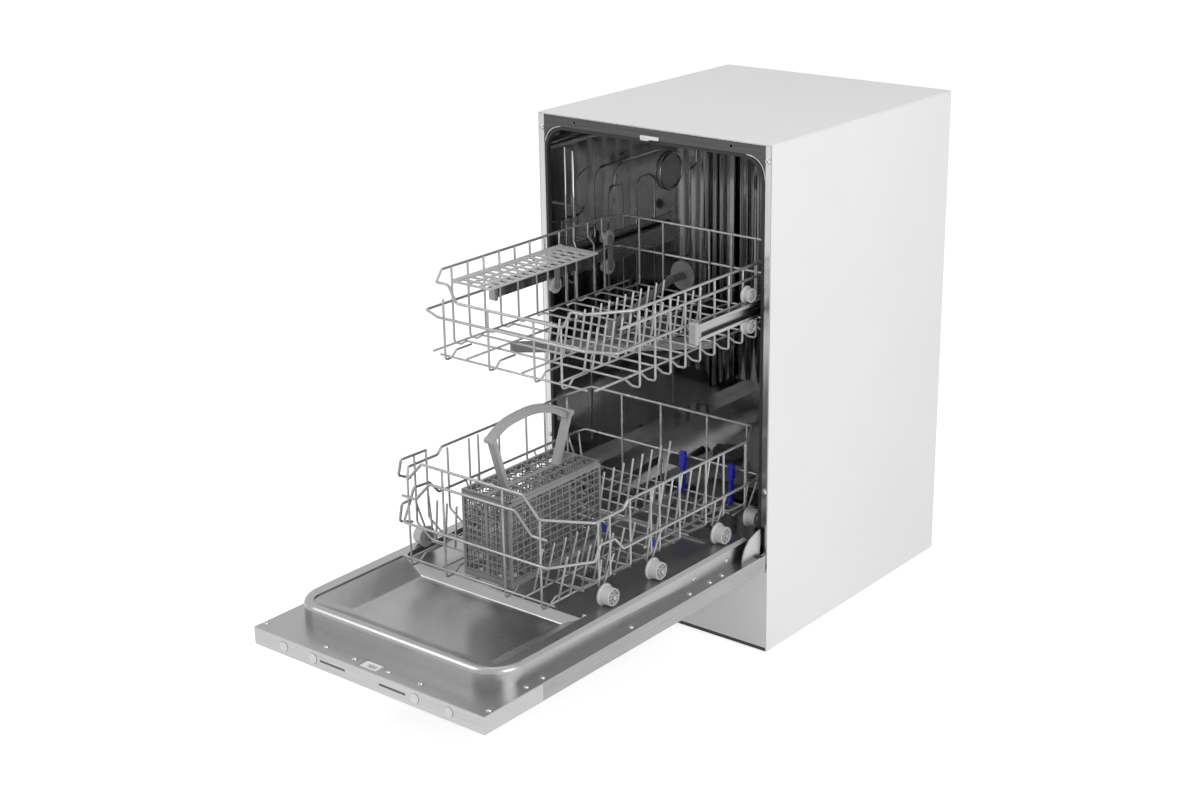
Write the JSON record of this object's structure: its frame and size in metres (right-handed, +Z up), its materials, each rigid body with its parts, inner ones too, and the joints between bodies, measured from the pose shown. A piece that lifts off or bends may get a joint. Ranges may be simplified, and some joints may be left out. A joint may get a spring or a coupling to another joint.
{
  "type": "dishwasher",
  "caption": "Built-in slimline dishwasher with its door hanging open: bright steel tub, two wire racks pulled out on rollers, a cutlery basket, spray arms, screw feet and base machinery.",
  "frame": {"origin": "centre of the cabinet's base face, on the floor", "axes": "+X right seen from the front, +Y to the back, +Z up"},
  "size_m": [0.448, 1.1916, 0.815],
  "materials": {
    "white_paint": "satin",
    "steel": "brushed",
    "bright_steel": "polished",
    "galvanised": "matte",
    "wire_coat": "satin",
    "grey_plastic": "matte",
    "dark_plastic": "matte",
    "light_plastic": "matte",
    "white_plastic": "gloss",
    "blue_plastic": "gloss",
    "window": "gloss",
    "rubber": "matte",
    "button_face": "satin"
  },
  "bodies": {
    "cabinet": {"base_tray": "dark_plastic", "left_side_panel": "white_paint", "right_side_panel": "white_paint", "top_panel": "white_paint", "back_panel": "galvanised", "front_frame": "bright_steel", "kick_plate": "white_paint", "tub_wrap": "bright_steel", "tub_back": "bright_steel", "tub_floor": "bright_steel", "door_seal": "rubber", "latch_strike": "white_plastic", "rail_guides": "bright_steel", "sump": "grey_plastic", "wash_pump": "dark_plastic", "drain_pump": "dark_plastic", "softener_tank": "grey_plastic", "inlet_valve": "white_plastic", "feed_pipe": "dark_plastic", "air_break": "light_plastic", "door_outer_panel": "steel", "door_liner": "steel", "control_fascia": "steel", "indicator_windows": "window", "door_latch": "white_plastic", "hinge_arms": "steel", "dispenser_body": "grey_plastic"},
    "foot_front_left": {"foot_front_left": "steel"},
    "foot_front_right": {"foot_front_right": "steel"},
    "foot_rear": {"foot_rear": "steel"},
    "filter_cup": {"filter_cup": "dark_plastic"},
    "salt_cap": {"salt_cap": "grey_plastic"},
    "lower_spray_arm": {"lower_spray_arm": "grey_plastic"},
    "dispenser_lid": {"dispenser_lid": "grey_plastic"},
    "button_power": {"button_power": "button_face"},
    "button_program": {"button_program": "button_face"},
    "button_option": {"button_option": "button_face"},
    "button_start": {"button_start": "button_face"},
    "upper_spray_arm": {"upper_spray_arm": "grey_plastic"},
    "cup_shelf": {"cup_shelf": "light_plastic"},
    "rollers_front_top": {"rollers_front_top": "light_plastic"},
    "rollers_front_bottom": {"rollers_front_bottom": "light_plastic"},
    "rollers_rear_top": {"rollers_rear_top": "light_plastic"},
    "rollers_rear_bottom": {"rollers_rear_bottom": "light_plastic"},
    "tine_row_left": {"tine_row_left": "wire_coat"},
    "tine_row_right": {"tine_row_right": "wire_coat"},
    "wheels_front": {"wheels_front": "light_plastic"},
    "wheels_mid_front": {"wheels_mid_front": "light_plastic"},
    "wheels_mid_rear": {"wheels_mid_rear": "light_plastic"},
    "wheels_rear": {"wheels_rear": "light_plastic"},
    "upper_rails": {"upper_rails": "bright_steel", "rail_end_caps": "grey_plastic"},
    "upper_rack": {"upper_rack_floor": "wire_coat", "upper_rack_walls": "wire_coat", "upper_spray_feed": "grey_plastic"},
    "lower_rack": {"lower_rack_floor": "wire_coat", "lower_rack_walls": "wire_coat", "tine_clips": "blue_plastic"},
    "basket": {"cutlery_basket": "grey_plastic", "basket_lid": "grey_plastic"}
  },
  "joints": [
    {"name": "foot_front_left_screw", "type": "slide", "parent": "cabinet", "child": "foot_front_left", "axis": [0, 0, 1], "range_m": [-0.045, 0]},
    {"name": "foot_front_right_screw", "type": "slide", "parent": "cabinet", "child": "foot_front_right", "axis": [0, 0, 1], "range_m": [-0.045, 0]},
    {"name": "foot_rear_screw", "type": "slide", "parent": "cabinet", "child": "foot_rear", "axis": [0, 0, 1], "range_m": [-0.045, 0]},
    {"name": "filter_turn", "type": "hinge", "parent": "cabinet", "child": "filter_cup", "pos_m": [0.03, -0.038, 0.12], "axis": [0, 0, 1], "range_deg": [0, 90]},
    {"name": "salt_cap_turn", "type": "hinge", "parent": "cabinet", "child": "salt_cap", "pos_m": [-0.118, 0.12, 0.145], "axis": [0, 0, 1], "continuous": true},
    {"name": "lower_arm_spin", "type": "hinge", "parent": "cabinet", "child": "lower_spray_arm", "pos_m": [0, -0.01, 0.165], "axis": [0, 0, 1], "continuous": true},
    {"name": "button_power_push", "type": "slide", "parent": "cabinet", "child": "button_power", "axis": [0, 1, 0], "range_m": [0, 0.0015], "stiffness_N_per_m": 600},
    {"name": "button_program_push", "type": "slide", "parent": "cabinet", "child": "button_program", "axis": [0, 1, 0], "range_m": [0, 0.0015], "stiffness_N_per_m": 600},
    {"name": "button_option_push", "type": "slide", "parent": "cabinet", "child": "button_option", "axis": [0, 1, 0], "range_m": [0, 0.0015], "stiffness_N_per_m": 600},
    {"name": "button_start_push", "type": "slide", "parent": "cabinet", "child": "button_start", "axis": [0, 1, 0], "range_m": [0, 0.0015], "stiffness_N_per_m": 600},
    {"name": "dispenser_lid_slide", "type": "slide", "parent": "cabinet", "child": "dispenser_lid", "axis": [-1, 0, 0], "range_m": [0, 0.055]},
    {"name": "upper_rack_slide", "type": "slide", "parent": "cabinet", "child": "upper_rack", "axis": [0, 1, 0], "range_m": [0, 0.361]},
    {"name": "upper_rail_slide", "type": "slide", "parent": "cabinet", "child": "upper_rails", "axis": [0, 1, 0], "range_m": [0, 0.19]},
    {"name": "rollers_front_top_roll", "type": "hinge", "parent": "upper_rack", "child": "rollers_front_top", "pos_m": [0, -0.27, 0.586], "axis": [1, 0, 0], "continuous": true},
    {"name": "rollers_front_bottom_roll", "type": "hinge", "parent": "upper_rack", "child": "rollers_front_bottom", "pos_m": [0, -0.27, 0.538], "axis": [1, 0, 0], "continuous": true},
    {"name": "rollers_rear_top_roll", "type": "hinge", "parent": "upper_rack", "child": "rollers_rear_top", "pos_m": [0, -0.132, 0.586], "axis": [1, 0, 0], "continuous": true},
    {"name": "rollers_rear_bottom_roll", "type": "hinge", "parent": "upper_rack", "child": "rollers_rear_bottom", "pos_m": [0, -0.132, 0.538], "axis": [1, 0, 0], "continuous": true},
    {"name": "upper_arm_spin", "type": "hinge", "parent": "upper_rack", "child": "upper_spray_arm", "pos_m": [0, -0.358, 0.495], "axis": [0, 0, 1], "continuous": true},
    {"name": "cup_shelf_fold", "type": "hinge", "parent": "upper_rack", "child": "cup_shelf", "pos_m": [-0.17338, -0.3975, 0.605], "axis": [0, -1, 0], "range_deg": [0, 80]},
    {"name": "lower_rack_slide", "type": "slide", "parent": "cabinet", "child": "lower_rack", "axis": [0, 1, 0], "range_m": [0, 0.455]},
    {"name": "wheels_front_roll", "type": "hinge", "parent": "lower_rack", "child": "wheels_front", "pos_m": [0, -0.603, 0.2153], "axis": [1, 0, 0], "continuous": true},
    {"name": "wheels_mid_front_roll", "type": "hinge", "parent": "lower_rack", "child": "wheels_mid_front", "pos_m": [0, -0.49, 0.2153], "axis": [1, 0, 0], "continuous": true},
    {"name": "wheels_mid_rear_roll", "type": "hinge", "parent": "lower_rack", "child": "wheels_mid_rear", "pos_m": [0, -0.326, 0.2153], "axis": [1, 0, 0], "continuous": true},
    {"name": "wheels_rear_roll", "type": "hinge", "parent": "lower_rack", "child": "wheels_rear", "pos_m": [0, -0.24, 0.2153], "axis": [1, 0, 0], "continuous": true},
    {"name": "tine_row_left_fold", "type": "hinge", "parent": "lower_rack", "child": "tine_row_left", "pos_m": [0.035, -0.345, 0.2232], "axis": [0, -1, 0], "range_deg": [0, 85]},
    {"name": "tine_row_right_fold", "type": "hinge", "parent": "lower_rack", "child": "tine_row_right", "pos_m": [0.13, -0.345, 0.2232], "axis": [0, -1, 0], "range_deg": [0, 85]},
    {"name": "basket_lift", "type": "slide", "parent": "lower_rack", "child": "basket", "axis": [0, 0, 1], "range_m": [0, 0.015]}
  ],
  "couplings": [
    {"joint": "upper_rail_slide", "follows": "upper_rack_slide", "ratio": 0.52631},
    {"joint": "rollers_front_top_roll", "follows": "upper_rack_slide", "rad_per_m": -44.27},
    {"joint": "rollers_front_bottom_roll", "follows": "upper_rack_slide", "rad_per_m": 44.27},
    {"joint": "rollers_rear_top_roll", "follows": "upper_rack_slide", "rad_per_m": -44.27},
    {"joint": "rollers_rear_bottom_roll", "follows": "upper_rack_slide", "rad_per_m": 44.27},
    {"joint": "wheels_front_roll", "follows": "lower_rack_slide", "rad_per_m": -71.429},
    {"joint": "wheels_mid_front_roll", "follows": "lower_rack_slide", "rad_per_m": -71.429},
    {"joint": "wheels_mid_rear_roll", "follows": "lower_rack_slide", "rad_per_m": -71.429},
    {"joint": "wheels_rear_roll", "follows": "lower_rack_slide", "rad_per_m": -71.429}
  ]
}
